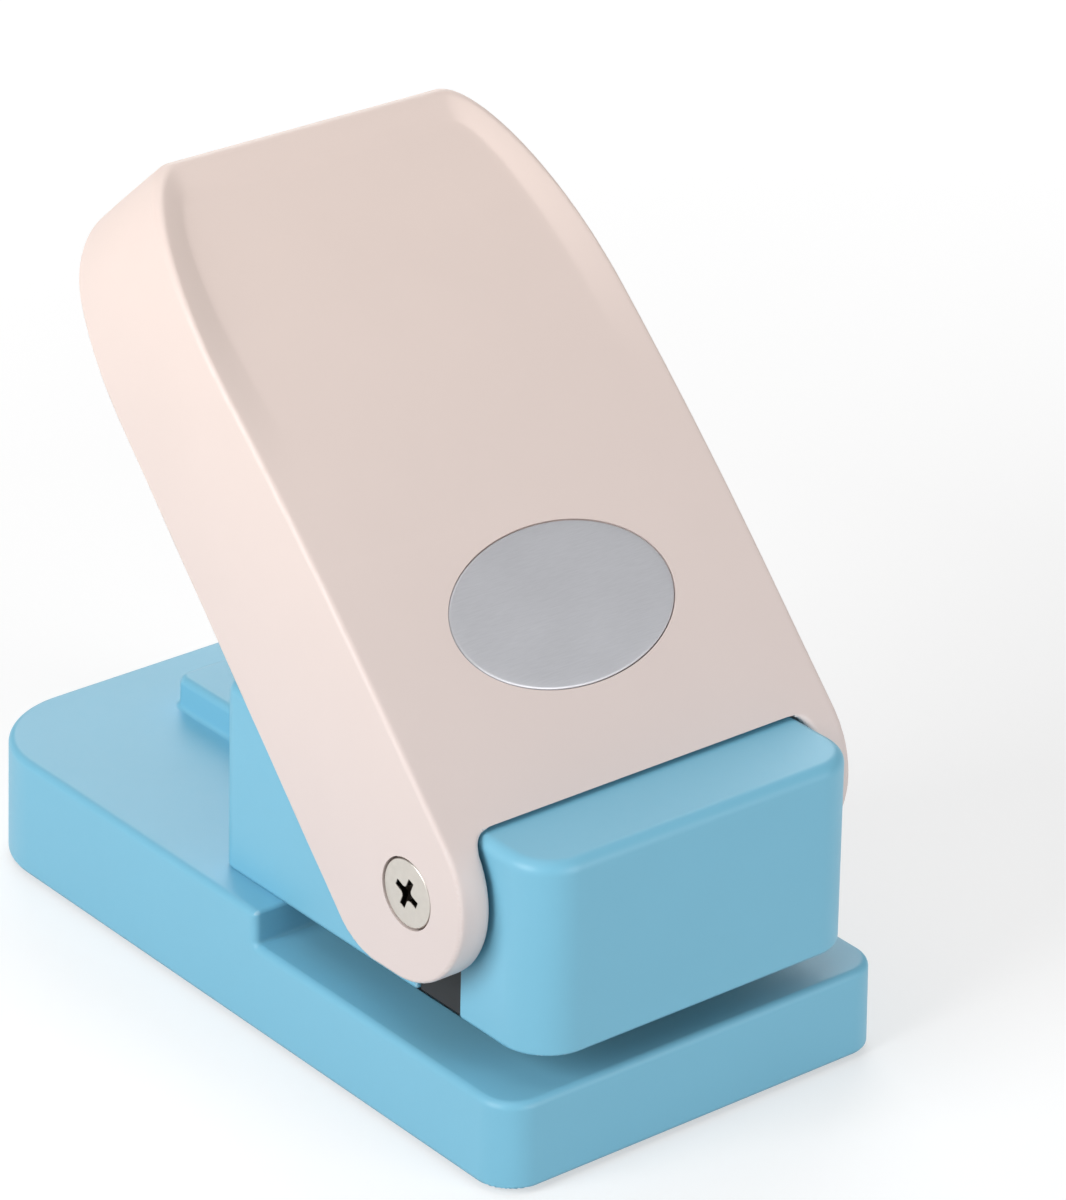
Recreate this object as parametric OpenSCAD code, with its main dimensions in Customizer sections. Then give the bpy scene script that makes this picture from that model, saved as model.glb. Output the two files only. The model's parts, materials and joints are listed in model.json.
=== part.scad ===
// Index tab punch. A hand lever turns an axle with two cams, the cams push a crosshead down, and the
// tab-shaped punch under it cuts a sheet that lies in the throat between the base and the head.
// Millimetres. X is to the right, Y runs from the open front to the rear and Z is up. The origin is
// on the table under the middle of the base.

/* [Base] */
// Width of the base
base_w = 60; // [59:0.5:66]
// Length of the base
base_l = 112.8; // [109:0.2:120]
// Height of the paper floor above the lower rim
floor_h = 11.6; // [11:0.1:14]
// Height of the throat, from the floor to the rear platform
throat_h = 4.5; // [4:0.1:5.6]
// Depth of the throat, from the front of the base to the paper stop
throat_d = 49.7; // [48:0.1:51]
// Plan radius of the front corners
base_front_r = 5; // [4:0.5:9]
// Plan radius of the rear corners
base_rear_r = 14; // [9:0.5:16]
// Lean of the outer walls, in degrees
base_draft = 1.2; // [0.4:0.1:2.4]
// Rounding of the top edges
base_edge_r = 1; // [0.6:0.1:1.6]
// Wall of the base
base_wall = 2.4; // [2:0.1:3]
// Width of the rib on the platform
rib_w = 10; // [6:0.5:14]
// Height of the rib
rib_h = 4.4; // [2.5:0.1:5]
// Distance from the rear of the base to the end of the rib
rib_setback = 11.9; // [9:0.1:20]
// Corner radius of the rib
rib_r = 2; // [1:0.1:2.8]

/* [Underside] */
// Thickness of the bottom cover
cover_t = 1.8; // [1.6:0.1:2.2]
// Diameter of a rubber foot
foot_d = 10; // [7:0.5:11]
// Depth of the pocket that a foot is glued into
foot_pocket = 1; // [0.6:0.1:1.2]
// How far a foot stands out below the rim
foot_proud = 0.8; // [0.5:0.1:2]
// Distance from the sides of the base to the foot centres
foot_inset = 10; // [9.5:0.1:14]
// Distance from the front and rear ends to the foot centres
foot_end_inset = 11.5; // [10.5:0.1:14]
// Distance from the front of the base to the front cover screws
cover_screw_front = 36.8; // [28:0.2:40]
// Distance from the rear of the base to the rear cover screws
cover_screw_rear = 30; // [24:0.2:32]

/* [Head] */
// Length of the head
head_l = 63; // [61:0.1:66]
// Height of the head above the platform
head_h = 25.7; // [24.6:0.1:28]
// Distance from the front of the base to the front of the head
head_setback = 0.1; // [0:0.1:1.6]
// Wall of the head
head_wall = 2.3; // [1.8:0.1:2.6]
// Plan radius of the front corners of the head
head_front_r = 6.5; // [5:0.5:8]
// Plan radius of the rear corners of the head
head_rear_r = 3; // [2.5:0.1:4]
// Rounding of the top edges of the head
head_edge_r = 1.6; // [0.8:0.1:2.2]
// Lean of the walls of the head, in degrees
head_draft = 0.5; // [0.1:0.1:1]

/* [Lever] */
// Angle of the raised lever above the horizontal
lever_angle = 46.4; // [44:0.2:48]
// Distance from the pivot to the free end
lever_reach = 92.7; // [86:0.1:98]
// Depth of the lever below the pivot
lever_low = 14.5; // [13.4:0.1:15.2]
// How much less deep the lever is at its free end
lever_rise = 0.7; // [0:0.1:2]
// Wall of the roof and of the free end
lever_wall = 2.3; // [2:0.1:3]
// Thickness of a cheek
cheek_t = 4.6; // [3.2:0.1:5]
// How far a cheek stands out past the side of the base
cheek_proud = 0.3; // [0:0.1:0.6]
// Radius of the rounded front of a cheek
ear_r = 12.5; // [11.8:0.1:13]
// Distance from the pivot to the middle of that rounding, along the lever
ear_s = 1.8; // [1:0.1:2.4]
// Length of the rounding between the flat foot of a cheek and its lower edge
toe_cut = 1.6; // [0.6:0.1:2.4]
// Lengthwise radius of the roof
crown_r = 470; // [400:10:800]
// Distance from the pivot to where the roof starts to curve down
crown_s = 20; // [14:1:26]
// Radius of the lower corner of the free end
heel_r = 11; // [7:0.5:13]
// How far the lower corner would run out past the free end
heel_out = 3.2; // [0:0.1:5]
// Radius between roof and free end
brow_r = 1.4; // [1:0.1:3]
// Width of the oval corners of the free end, at the roof
corner_w = 10.3; // [6:0.1:14]
// Length of the oval corners of the free end, at the roof
corner_l = 31.8; // [20:0.2:40]
// Width of the oval corners of the free end, at the lower edge
low_corner_w = 8.1; // [5:0.1:14]
// Length of the oval corners of the free end, at the lower edge
low_corner_l = 24.4; // [14:0.2:40]
// Rounding along the edges of the cheeks
lever_edge_r = 0.9; // [0.6:0.1:1.6]
// Depth of the dished rest
dish_depth = 1.2; // [0.4:0.1:1.6]
// Distance from the pivot to where the dish starts
dish_start = 42; // [36:1:60]
// Length over which the dish becomes deeper
dish_run = 36; // [20:1:40]
// Width of the rim round the dish
rim_w = 1.8; // [1.2:0.1:4]
// Width of the slope between the rim and the dish
dish_slope = 4; // [3:0.5:8]
// Gap between the lip of the roof and the head
lip_gap = 0.4; // [0.3:0.1:1.4]

/* [Plaque] */
// Width of the oval
plaque_w = 33; // [24:0.5:40]
// Length of the oval along the lever
plaque_l = 20.6; // [14:0.2:24]
// Thickness of the oval
plaque_t = 0.7; // [0.5:0.1:1]
// Distance from the pivot to the middle of the oval
plaque_s = 24.6; // [20:0.2:30]

/* [Pivot] */
// Distance from the front of the base to the pivot
pivot_setback = 19; // [18:0.1:20]
// Height of the pivot above the lower rim
pivot_h = 32.8; // [32.4:0.1:34.4]
// Diameter of the axle
axle_d = 6; // [5.4:0.1:6.4]
// Thickness across the flats of the axle ends
axle_flat = 4.6; // [4.4:0.1:5]
// Length of a flat
axle_flat_l = 1.4; // [1:0.1:1.6]
// Wall of a bush
bush_wall = 0.9; // [0.7:0.1:1.1]
// Width of the bush flange outside the barrel
bush_flange = 1.5; // [1:0.1:2]
// Diameter of the pivot screw head
pivot_head_d = 8.8; // [8:0.1:11]
// Thickness of the pivot screw head
pivot_head_t = 1.2; // [1:0.1:1.4]
// Diameter of the pivot screw shank
pivot_shank_d = 3.6; // [3:0.1:3.8]
// Length of the pivot screw shank
pivot_shank_l = 9; // [6:0.5:11]
// Width of the cross recess in the pivot screw head
pivot_recess_w = 4; // [3:0.1:4.5]
// Bevel round the pivot screw head
pivot_bevel = 0.5; // [0.2:0.1:0.7]

/* [Punch] */
// Width of the tab that is cut
tab_w = 28; // [20:0.5:28.5]
// Depth of the tab that is cut
tab_d = 20; // [16:0.5:21]
// Radius of the rounded corners of the tab
tab_r = 4; // [2:0.5:6]
// Radius of the other corners of the tab
tab_heel_r = 1; // [0.5:0.1:2]
// How far the punch enters the die
die_entry = 0.9; // [0.7:0.1:1.1]
// How far the raised punch sits above the throat
punch_recess = 0.3; // [0.2:0.1:0.5]
// Hollow of the cutting face, so that the sides cut first
shear_depth = 0.5; // [0.2:0.1:0.6]
// Angle through which the lever is pressed
press_angle = 40; // [37:1:42]
// Thickness of the die plate
die_t = 4; // [3:0.1:4.2]
// Width of the die plate outside the aperture
die_margin = 6; // [5.5:0.1:7]
// Depth of the die plate and the spacer bar behind the paper stop
stack_d = 9; // [7:0.1:10.5]
// Distance from the paper stop to the stack bolts
bolt_setback = 2.5; // [2.4:0.1:3.5]
// Thickness of the guide plate
guide_t = 2.5; // [2.2:0.1:2.8]
// Thickness of the side plates
side_plate_t = 2; // [1.6:0.1:2.3]
// How far the keys of the frame lie back in the side slots of the head
key_sink = 0.6; // [0.4:0.1:1.2]
// Thickness of the crosshead
crosshead_t = 4; // [3.6:0.1:4.4]
// Thickness of a cam
cam_t = 5; // [4:0.5:6]
// Distance from the middle to the middle of a cam
cam_x = 8; // [7:0.1:9]
// Wall of a cam round the axle
cam_wall = 1.8; // [1.5:0.1:2]
// Diameter of a cam pin
cam_pin_d = 2; // [1.5:0.1:2.2]
// Diameter of a guide pillar
pillar_d = 3; // [2.4:0.1:3]
// Outer diameter of a return spring
spring_d = 4.8; // [4.6:0.1:5]
// Diameter of the spring wire
wire_d = 0.7; // [0.5:0.05:0.7]
// Turns of a return spring
spring_turns = 8; // [6:1:9]
// Radius of a spring tower
tower_r = 3.6; // [3.4:0.1:3.7]

/* [Fasteners] */
// Shank of the stack bolts
bolt_d = 4; // [3:0.1:4.2]
// Shank of the other screws
screw_d = 3; // [2.5:0.1:3.2]
// Head of a stack bolt
bolt_head_d = 7; // [5.5:0.1:7.8]
// Head of another screw
screw_head_d = 5.4; // [4.6:0.1:5.8]
// Thickness of the pan heads
pan_t = 2.2; // [1.6:0.1:2.4]
// Radius of a screw boss
boss_r = 2.9; // [2.7:0.1:3.2]
// Length of a screw in its boss
boss_bite = 8; // [6:0.5:10]
// Length of a punch screw in the punch
punch_bite = 5; // [3:0.5:6]

/* [Fits] */
// Gap between the head and a cheek
side_gap = 0.4; // [0.3:0.05:0.6]
// Clearance of the roof over the head, measured at the pivot
roof_gap = 0.15; // [0.1:0.05:0.4]
// Radial clearance of a running shaft or pillar
run_gap = 0.05; // [0.03:0.01:0.08]
// Clearance of the punch in the guide plate and in the die
punch_gap = 0.1; // [0.08:0.01:0.15]
// Clearance of a piece that is seated and held
seat_gap = 0.1; // [0.05:0.01:0.15]
// Radial clearance of a screw or pin in its hole
hole_gap = 0.03; // [0.02:0.01:0.05]
// Gap between the cams and the crosshead
cam_gap = 0.2; // [0.15:0.05:0.3]
// Gap left under the crosshead at the end of the stroke
end_gap = 0.3; // [0.2:0.1:0.5]
// Room between the frame and the inside of the head
frame_gap = 0.3; // [0.2:0.05:0.5]
// Room between a spring tower and the axle
tower_gap = 0.6; // [0.4:0.1:0.7]
// Room above the spring towers
tower_room = 2.2; // [1.5:0.1:3]
// Room between a spring and the wall of its pocket
pocket_gap = 0.4; // [0.3:0.05:0.4]
// Room in a hole past the tip of its screw
tip_room = 0.5; // [0.2:0.1:0.8]
// How far a pivot screw head lies below the face of the cheek
pivot_sink = 0.1; // [0.05:0.05:0.2]

/* [Hidden] */
$fn = 64;
// Sides of the rounded corners that are blended into one form
blend_fn = 32;
// Overrun of a cutter past the face that it cuts
over = 1;
// Smallest inside radius of a moulded corner
least_r = 0.5;

blue = [0.61, 0.81, 0.91];
cream = [0.95, 0.89, 0.85];
dark_steel = [0.25, 0.25, 0.26];
steel = [0.62, 0.63, 0.65];
nickel = [0.83, 0.81, 0.77];
brass = [0.76, 0.62, 0.34];
zinc = [0.55, 0.56, 0.58];
satin_silver = [0.70, 0.71, 0.74];
rubber = [0.12, 0.12, 0.13];

// Main planes
rim_z = foot_proud;
floor_z = rim_z + floor_h;
platform_z = floor_z + throat_h;
front_y = -base_l / 2;
rear_y = base_l / 2;
stop_y = front_y + throat_d;
half_w = base_w / 2 + cheek_proud;
cheek_in_x = half_w - cheek_t;
head_w = 2 * (cheek_in_x - side_gap);
head_front_y = front_y + head_setback;
head_rear_y = head_front_y + head_l;
head_top_z = platform_z + head_h;
head_ceiling_z = head_top_z - head_wall;
pivot_y = front_y + pivot_setback;
pivot_z = rim_z + pivot_h;
cover_top_z = rim_z + cover_t;
seat_z = floor_z - die_t;
under_z = seat_z - base_wall;

// Stroke: an involute cam of this base radius moves a flat follower by the same length per radian
stroke = throat_h + punch_recess + die_entry;
cam_r = stroke / (press_angle * PI / 180);
punch_y = pivot_y + cam_r;
punch_z = platform_z + punch_recess;
guide_top_z = platform_z + guide_t;
crosshead_z = guide_top_z + end_gap + stroke;
crosshead_top_z = crosshead_z + crosshead_t;
cam_lift = pivot_z - crosshead_top_z - cam_gap;
hub_r = axle_d / 2 + cam_wall;

// Frame inside the head
frame_x = head_w / 2 - head_wall - frame_gap;
side_plate_x = frame_x - side_plate_t;
frame_front_y = head_front_y + head_wall + frame_gap;
boss_inset = 1;
frame_rear_y = head_rear_y - head_wall - frame_gap;
rear_boss_y = head_rear_y - head_wall - boss_inset;
front_boss_y = frame_front_y + boss_r + boss_inset;
boss_x = tab_w / 2 + boss_r;
stack_rear_y = stop_y + stack_d;
tongue_w = 2 * (boss_x - boss_r - seat_gap);
bolt_x = tongue_w / 2 - bolt_head_d / 2;
bolt_y = stop_y + bolt_setback;
die_w = tab_w + 2 * die_margin;
die_front_y = punch_y - tab_d / 2 - die_margin;
die_front_r = 3;
die_rear_r = 2;
die_edge_r = 0.4;
die_screw_x = tab_w / 2 + die_margin / 2;
die_screw_y = die_front_y + die_margin / 2;
die_skin = 0.6;
die_screw_tip_z = floor_z - die_skin - tip_room;
tower_reach = cam_r + axle_d / 2 + tower_gap + tower_r;
tower_ys = [punch_y - tower_reach, punch_y + tower_reach];
tower_top_z = head_ceiling_z - tower_room;
tower_cap = 2;
pocket_r = spring_d / 2 + pocket_gap;
crosshead_lip = 1;
crosshead_r = 2;
beam_w = 2 * pocket_r;
pocket_top_z = tower_top_z - tower_cap;
pillar_top_z = tower_top_z - tower_cap / 4;
bush_d = axle_d + 2 * (run_gap + bush_wall);
bush_out_x = cheek_in_x - side_gap / 2;
slot_w = bush_d + 2 * seat_gap;

// Underside of the base
thick_y = max(rear_boss_y + boss_r, stack_rear_y) + base_wall;
chute_gap = 1;
chute_wall = 1.6;
cover_screw_x = base_w / 2 - base_wall - boss_r - boss_inset;
cover_screw_ys = [front_y + cover_screw_front, rear_y - cover_screw_rear];
foot_x = base_w / 2 - foot_inset;
foot_y = base_l / 2 - foot_end_inset;

// Lever, in its own frame: s runs from the pivot to the free end and n is up from the pivot
roof_n = head_top_z - pivot_z + roof_gap + lever_wall;
lip_h = head_top_z - pivot_z + lip_gap;
recess_turn = 60;
web_x = half_w - pivot_head_t - pivot_sink;

function bulge(x, half, r) = let (d = max(0, abs(x) - half + r)) r - sqrt(max(0, r * r - d * d));
function smooth(t) = let (u = min(1, max(0, t))) u * u * (3 - 2 * u);
function arc(c, r, from, to, count) =
    [for (i = [0:count]) let (a = from + (to - from) * i / count) c + r * [cos(a), sin(a)]];
function bend(a, b, c, count) =
    [for (i = [0:count]) let (t = i / count) (1 - t) * (1 - t) * a + 2 * t * (1 - t) * b + t * t * c];
function crown(s) = roof_n - pow(max(0, s - crown_s), 2) / (2 * crown_r);
function low_n(s) = lever_rise * s / lever_reach - lever_low;
tip_n = crown(lever_reach);
tip_low_n = low_n(lever_reach);

// Distance of a point of the roof from its edge
function edge_distance(x, s) =
    let (
        u = max(0, abs(x) - half_w + corner_w) / corner_w,
        v = max(0, s - lever_reach + corner_l) / corner_l,
        slope = norm([u / corner_w, v / corner_l])
    )
    slope > 0 ? (1 - norm([u, v])) * norm([u, v]) / slope : min(half_w - abs(x), lever_reach - s);
function dish(x, s) =
    dish_depth * smooth((s - dish_start) / dish_run) * smooth((edge_distance(x, s) - rim_w) / dish_slope);

// Where the free end is, at a distance x from the middle and at a height n
function tip_at(x, n) =
    let (
        drop = min(1, max(0, (tip_n - n) / (tip_n - tip_low_n))),
        w = corner_w + (low_corner_w - corner_w) * drop,
        l = corner_l + (low_corner_l - corner_l) * drop,
        u = min(1, max(0, abs(x) - half_w + w) / w)
    )
    lever_reach - l * (1 - sqrt(1 - u * u));
function heel_n(s) =
    let (d = min(heel_r, max(0, s - lever_reach - heel_out + heel_r)))
    low_n(s) + heel_r - sqrt(heel_r * heel_r - d * d);
function heel_end(x, s, tries) = tries == 0 ? s : heel_end(x, tip_at(x, heel_n(s)), tries - 1);

// Side view of the lever at a distance x from its middle, clockwise from the heel
function lever_outline(x) =
    let (
        inset = bulge(x, half_w, lever_edge_r),
        low = inset - lever_low,
        ear = ear_r - inset,
        ear_c = [ear_s, crown(ear_s) - ear_r],
        foot = ear_c * [sin(lever_angle), cos(lever_angle)] - ear,
        toe = [(foot - low * cos(lever_angle)) / sin(lever_angle), low],
        heel_s = heel_end(x, tip_at(x, tip_low_n), 5),
        heel_l = heel_r - heel_out + over,
        brow_s = tip_at(x, tip_n) - brow_r,
        brow_n = crown(brow_s) - inset - dish(x, brow_s) - brow_r,
        wall_h = brow_n - heel_n(heel_s) - inset,
        roof_count = 26,
        roof_crowding = 1.6
    )
    concat(
        [for (i = [0:7]) let (s = heel_s - heel_l * i / 7) [s, heel_n(s) + inset]],
        bend(toe + [toe_cut, 0], toe, toe + toe_cut * [-cos(lever_angle), sin(lever_angle)], 3),
        arc(ear_c, ear, -90 - lever_angle, -270, 11),
        [for (i = [1:roof_count - 1])
            let (s = brow_s + (ear_s - brow_s) * pow(1 - i / roof_count, roof_crowding))
            [s, crown(s) - inset - dish(x, s)]],
        arc([brow_s, brow_n], brow_r, 90, 0, 4),
        [for (i = [1:3]) let (n = brow_n - wall_h * i / 4) [tip_at(x, n), n]]
    );

// Distances from the middle at which the side view is taken, close together where the edges round
function lever_stations() =
    let (
        corner_turn = asin((corner_w - lever_edge_r) / corner_w),
        flat_x = half_w - corner_w,
        side = concat(
            [for (share = [0.4, 0.7]) flat_x * share],
            [for (i = [0:8]) flat_x + corner_w * sin(corner_turn * i / 8)],
            [for (i = [1:4]) half_w - lever_edge_r + lever_edge_r * sin(90 * i / 4)]
        ),
        last = len(side) - 1
    )
    concat([for (i = [0:last]) -side[last - i]], [0], side);

function middle(ring) = [for (k = [0:2]) [for (p = ring) 1] * [for (p = ring) p[k]]] / len(ring);

// Skin over equal rings of points, each ring clockwise seen from the last one's side
module skin(rings) {
    count = len(rings[0]);
    last = len(rings) - 1;
    first_middle = (last + 1) * count;
    polyhedron(
        points = concat([for (ring = rings) each ring], [middle(rings[0]), middle(rings[last])]),
        faces = concat(
            [for (i = [0:last - 1]) for (j = [0:count - 1])
                let (a = i * count + j, b = i * count + (j + 1) % count)
                each [[a, b, b + count], [a, b + count, a + count]]],
            [for (j = [0:count - 1]) [(j + 1) % count, j, first_middle]],
            [for (j = [0:count - 1])
                [last * count + j, last * count + (j + 1) % count, first_middle + 1]]
        )
    );
}

// Rounded rectangle from y0 to y1, with its own radii in front and behind
module plan(w, y0, y1, front_r, rear_r) {
    middle_y = (y0 + y1) / 2;
    translate([-w / 2, y0 + front_r]) square([w, y1 - y0 - front_r - rear_r]);
    translate([-w / 2 + front_r, y0]) square([w - 2 * front_r, middle_y - y0]);
    translate([-w / 2 + rear_r, middle_y]) square([w - 2 * rear_r, y1 - middle_y]);
    for (side = [-1, 1]) {
        translate([side * (w / 2 - front_r), y0 + front_r]) circle(front_r);
        translate([side * (w / 2 - rear_r), y1 - rear_r]) circle(rear_r);
    }
}

// Moulded block: drafted walls, rounded upright corners and a rounded top edge
module moulded_block(w, y0, y1, h, front_r, rear_r, draft, edge_r) {
    lean = h * tan(draft);
    hull()
        for (side = [-1, 1], end = [[y0 + front_r, front_r], [y1 - rear_r, rear_r]])
            translate([side * (w / 2 - end[1]), end[0], 0])
                rotate_extrude($fn = blend_fn)
                    polygon(concat(
                        [[0, 0], [end[1], 0]],
                        arc([end[1] - lean - edge_r, h - edge_r], edge_r, 0, 90, 5),
                        [[0, h]]
                    ));
}

// Along X, from x0 to x1, on the pivot
module pivot_rod(r, x0, x1) {
    translate([x0, pivot_y, pivot_z]) rotate([0, 90, 0]) cylinder(r = r, h = x1 - x0);
}

// Side view of Y and Z, extruded along X from x0 to x1
module side_view(x0, x1) {
    translate([x0, 0, 0]) rotate([90, 0, 90]) linear_extrude(x1 - x0) children();
}

module both_sides() {
    children();
    mirror([1, 0, 0]) children();
}

module in_lever_frame() {
    translate([0, pivot_y, pivot_z]) rotate([lever_angle, 0, 0]) children();
}

// Outline of the tab, larger by margin all round
module tab(margin) {
    plan(
        tab_w + 2 * margin, punch_y - tab_d / 2 - margin, punch_y + tab_d / 2 + margin,
        tab_r + margin, tab_heel_r + margin
    );
}

// Screw with its head under z = 0 and its shank upwards
module pan_screw(d, head_d, shank_l) {
    translate([0, 0, -pan_t])
        difference() {
            cylinder(d = head_d, h = pan_t);
            translate([0, 0, -over]) cross_recess(head_d / 2, over + pan_t / 2);
        }
    translate([0, 0, -pan_t / 4]) cylinder(d = d, h = shank_l + pan_t / 4);
}

// Screw with its flat head at z = 0 and its shank upwards
module flat_screw(d, shank_l) {
    difference() {
        union() {
            cylinder(d1 = screw_head_d, d2 = d, h = (screw_head_d - d) / 2);
            cylinder(d = d, h = shank_l);
        }
        translate([0, 0, -over]) cross_recess(d, over + d / 4);
    }
}

module flat_screw_hole(d, depth) {
    hole_d = d + 2 * hole_gap;
    cylinder(d1 = screw_head_d + 2 * hole_gap, d2 = hole_d, h = (screw_head_d - d) / 2);
    translate([0, 0, -over]) cylinder(d = hole_d, h = depth + over);
}

module cross_recess(span, depth) {
    for (turn = [0, 90])
        rotate([0, 0, turn]) translate([-span / 2, -span / 8, 0]) cube([span, span / 4, depth]);
}

module base_block(h) {
    translate([0, 0, rim_z])
        moulded_block(base_w, front_y, rear_y, h, base_front_r, base_rear_r, base_draft, base_edge_r);
}

module base_plan(inset) {
    plan(
        base_w - 2 * inset, front_y + inset, rear_y - inset,
        base_front_r - inset, base_rear_r - inset
    );
}

module at_cover_screws() {
    for (side = [-1, 1], y = cover_screw_ys) translate([side * cover_screw_x, y, 0]) children();
}

module at_feet() {
    for (x = [-foot_x, foot_x], y = [-foot_y, foot_y]) translate([x, y, 0]) children();
}

module base_form() {
    base_block(floor_h);
    intersection() {
        base_block(floor_h + throat_h);
        translate([-base_w / 2, stop_y, 0]) cube([base_w, rear_y - stop_y, platform_z]);
    }
    rib_front_y = head_rear_y + side_gap;
    translate([0, 0, platform_z - base_wall])
        moulded_block(
            rib_w, rib_front_y, rear_y - rib_setback, base_wall + rib_h, rib_r, rib_r,
            base_draft, base_edge_r
        );
}

module base_hollow() {
    translate([0, 0, rim_z - over]) linear_extrude(under_z - rim_z + over) base_plan(base_wall);
    intersection() {
        translate([0, 0, rim_z]) linear_extrude(platform_z - base_wall - rim_z) base_plan(base_wall);
        translate([-base_w / 2, thick_y, 0]) cube([base_w, rear_y - thick_y, platform_z]);
    }
}

// Ceiling of the hollow base: low under the die plate and high behind it
function ceiling_z(y) = y < thick_y ? under_z : platform_z - base_wall;

module base_shell() {
    color(blue)
        difference() {
            union() {
                difference() {
                    base_form();
                    base_hollow();
                }
                translate([0, 0, cover_top_z])
                    linear_extrude(under_z - cover_top_z) tab(chute_gap + chute_wall);
                for (side = [-1, 1], y = cover_screw_ys)
                    translate([side * cover_screw_x, y, cover_top_z])
                        cylinder(r = boss_r, h = ceiling_z(y) - cover_top_z);
            }
            linear_extrude(floor_z) tab(chute_gap);
            translate([0, 0, seat_z]) linear_extrude(platform_z - seat_z + over) die_outline(seat_gap);
            for (side = [-1, 1]) {
                translate([side * bolt_x, bolt_y, 0]) cylinder(d = bolt_d + 2 * hole_gap, h = floor_z);
                translate([side * die_screw_x, die_screw_y, 0])
                    cylinder(d = screw_d + 2 * hole_gap, h = floor_z);
                translate([side * boss_x, rear_boss_y, 0])
                    cylinder(d = screw_d + 2 * hole_gap, h = platform_z + over);
            }
            at_cover_screws() cylinder(d = screw_d + 2 * hole_gap, h = under_z + tip_room);
        }
}

module bottom_cover() {
    color(blue)
        difference() {
            translate([0, 0, rim_z]) linear_extrude(cover_t) base_plan(base_wall + seat_gap);
            linear_extrude(cover_top_z + over) tab(chute_gap + chute_wall / 2);
            at_feet()
                translate([0, 0, rim_z - over])
                    cylinder(d = foot_d + 2 * seat_gap, h = over + foot_pocket);
            at_cover_screws() translate([0, 0, rim_z]) flat_screw_hole(screw_d, cover_t + over);
        }
}

module rubber_feet() {
    color(rubber)
        at_feet()
            rotate_extrude()
                polygon([
                    [0, 0], [foot_d / 2 - foot_proud / 2, 0], [foot_d / 2, foot_proud / 2],
                    [foot_d / 2, rim_z + foot_pocket], [0, rim_z + foot_pocket]
                ]);
}

module cover_screws() {
    color(nickel)
        at_cover_screws() translate([0, 0, rim_z]) flat_screw(screw_d, under_z - rim_z);
}

// Outline of the die plate, larger by gap all round: wide in the throat, with a tongue behind the stop
module die_outline(gap) {
    plan(die_w + 2 * gap, die_front_y - gap, stop_y + gap, die_front_r + gap, die_edge_r + gap);
    plan(tongue_w + 2 * gap, die_screw_y, stack_rear_y + gap, die_edge_r + gap, die_rear_r + gap);
}

module die_plate() {
    color(steel)
        difference() {
            translate([0, 0, seat_z]) linear_extrude(die_t) die_outline(0);
            linear_extrude(platform_z) tab(punch_gap);
            for (side = [-1, 1]) {
                translate([side * bolt_x, bolt_y, 0])
                    cylinder(d = bolt_d + 2 * hole_gap, h = platform_z);
                translate([side * die_screw_x, die_screw_y, 0])
                    cylinder(d = screw_d + 2 * hole_gap, h = die_screw_tip_z + tip_room);
            }
        }
}

module spacer_bar() {
    color(steel)
        difference() {
            translate([0, 0, floor_z])
                linear_extrude(throat_h)
                    plan(tongue_w, stop_y, stack_rear_y, die_edge_r, die_rear_r);
            for (side = [-1, 1])
                translate([side * bolt_x, bolt_y, 0])
                    cylinder(d = bolt_d + 2 * hole_gap, h = platform_z + over);
        }
}

module side_plate_form() {
    ear = head_ceiling_z - pivot_z - 2 * frame_gap;
    foot_front_y = pivot_y - ear - guide_t;
    heel_z = platform_z + ear;
    translate([pivot_y, pivot_z]) circle(ear);
    polygon([
        [foot_front_y, platform_z], [pivot_y - ear, pivot_z], [pivot_y + ear, pivot_z],
        [stop_y, heel_z], [stop_y, platform_z]
    ]);
}

// Outline of the guide plate: as wide as the head inside, with a tongue between the rear bosses
module frame_outline() {
    corner_r = head_front_r - head_wall;
    wide_rear_y = rear_boss_y - boss_r - seat_gap;
    plan(2 * frame_x, frame_front_y, wide_rear_y, corner_r, die_edge_r);
    plan(tongue_w, frame_front_y, frame_rear_y, die_edge_r, die_rear_r);
}

// Key of the frame in a side slot of the head, under the bush
module slot_key() {
    key_h = pivot_z - bush_d / 2 - seat_gap - platform_z;
    translate([frame_x - over, pivot_y - bush_d / 2, platform_z])
        cube([head_w / 2 - key_sink - frame_x + over, bush_d, key_h]);
}

module punch_frame() {
    color(dark_steel)
        difference() {
            union() {
                translate([0, 0, platform_z])
                    linear_extrude(guide_t)
                        frame_outline();
                both_sides() {
                    side_view(side_plate_x, frame_x) side_plate_form();
                    slot_key();
                }
            }
            linear_extrude(head_top_z) tab(punch_gap);
            both_sides() pivot_rod(bush_d / 2 + hole_gap, side_plate_x - over, frame_x + over);
            for (side = [-1, 1]) {
                translate([side * bolt_x, bolt_y, 0])
                    cylinder(d = bolt_d + 2 * hole_gap, h = guide_top_z + over);
                translate([side * boss_x, front_boss_y, platform_z])
                    flat_screw_hole(screw_d, guide_t + over);
            }
            for (y = tower_ys)
                translate([0, y, 0]) cylinder(d = pillar_d + 2 * hole_gap, h = guide_top_z + over);
        }
}

module stack_bolts() {
    color(nickel)
        for (side = [-1, 1])
            translate([side * bolt_x, bolt_y, under_z])
                pan_screw(bolt_d, bolt_head_d, guide_top_z - under_z);
}

module die_screws() {
    color(nickel)
        for (side = [-1, 1])
            translate([side * die_screw_x, die_screw_y, under_z])
                pan_screw(screw_d, screw_head_d, die_screw_tip_z - under_z);
}

module guide_pillar(y) {
    color(steel)
        translate([0, y, platform_z]) {
            chamfer = pillar_d / 8;
            cylinder(d = pillar_d, h = pillar_top_z - platform_z - chamfer);
            translate([0, 0, pillar_top_z - platform_z - chamfer])
                cylinder(d1 = pillar_d, d2 = pillar_d - 2 * chamfer, h = chamfer);
        }
}

module guide_pillar_front() { guide_pillar(tower_ys[0]); }
module guide_pillar_rear() { guide_pillar(tower_ys[1]); }

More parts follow.
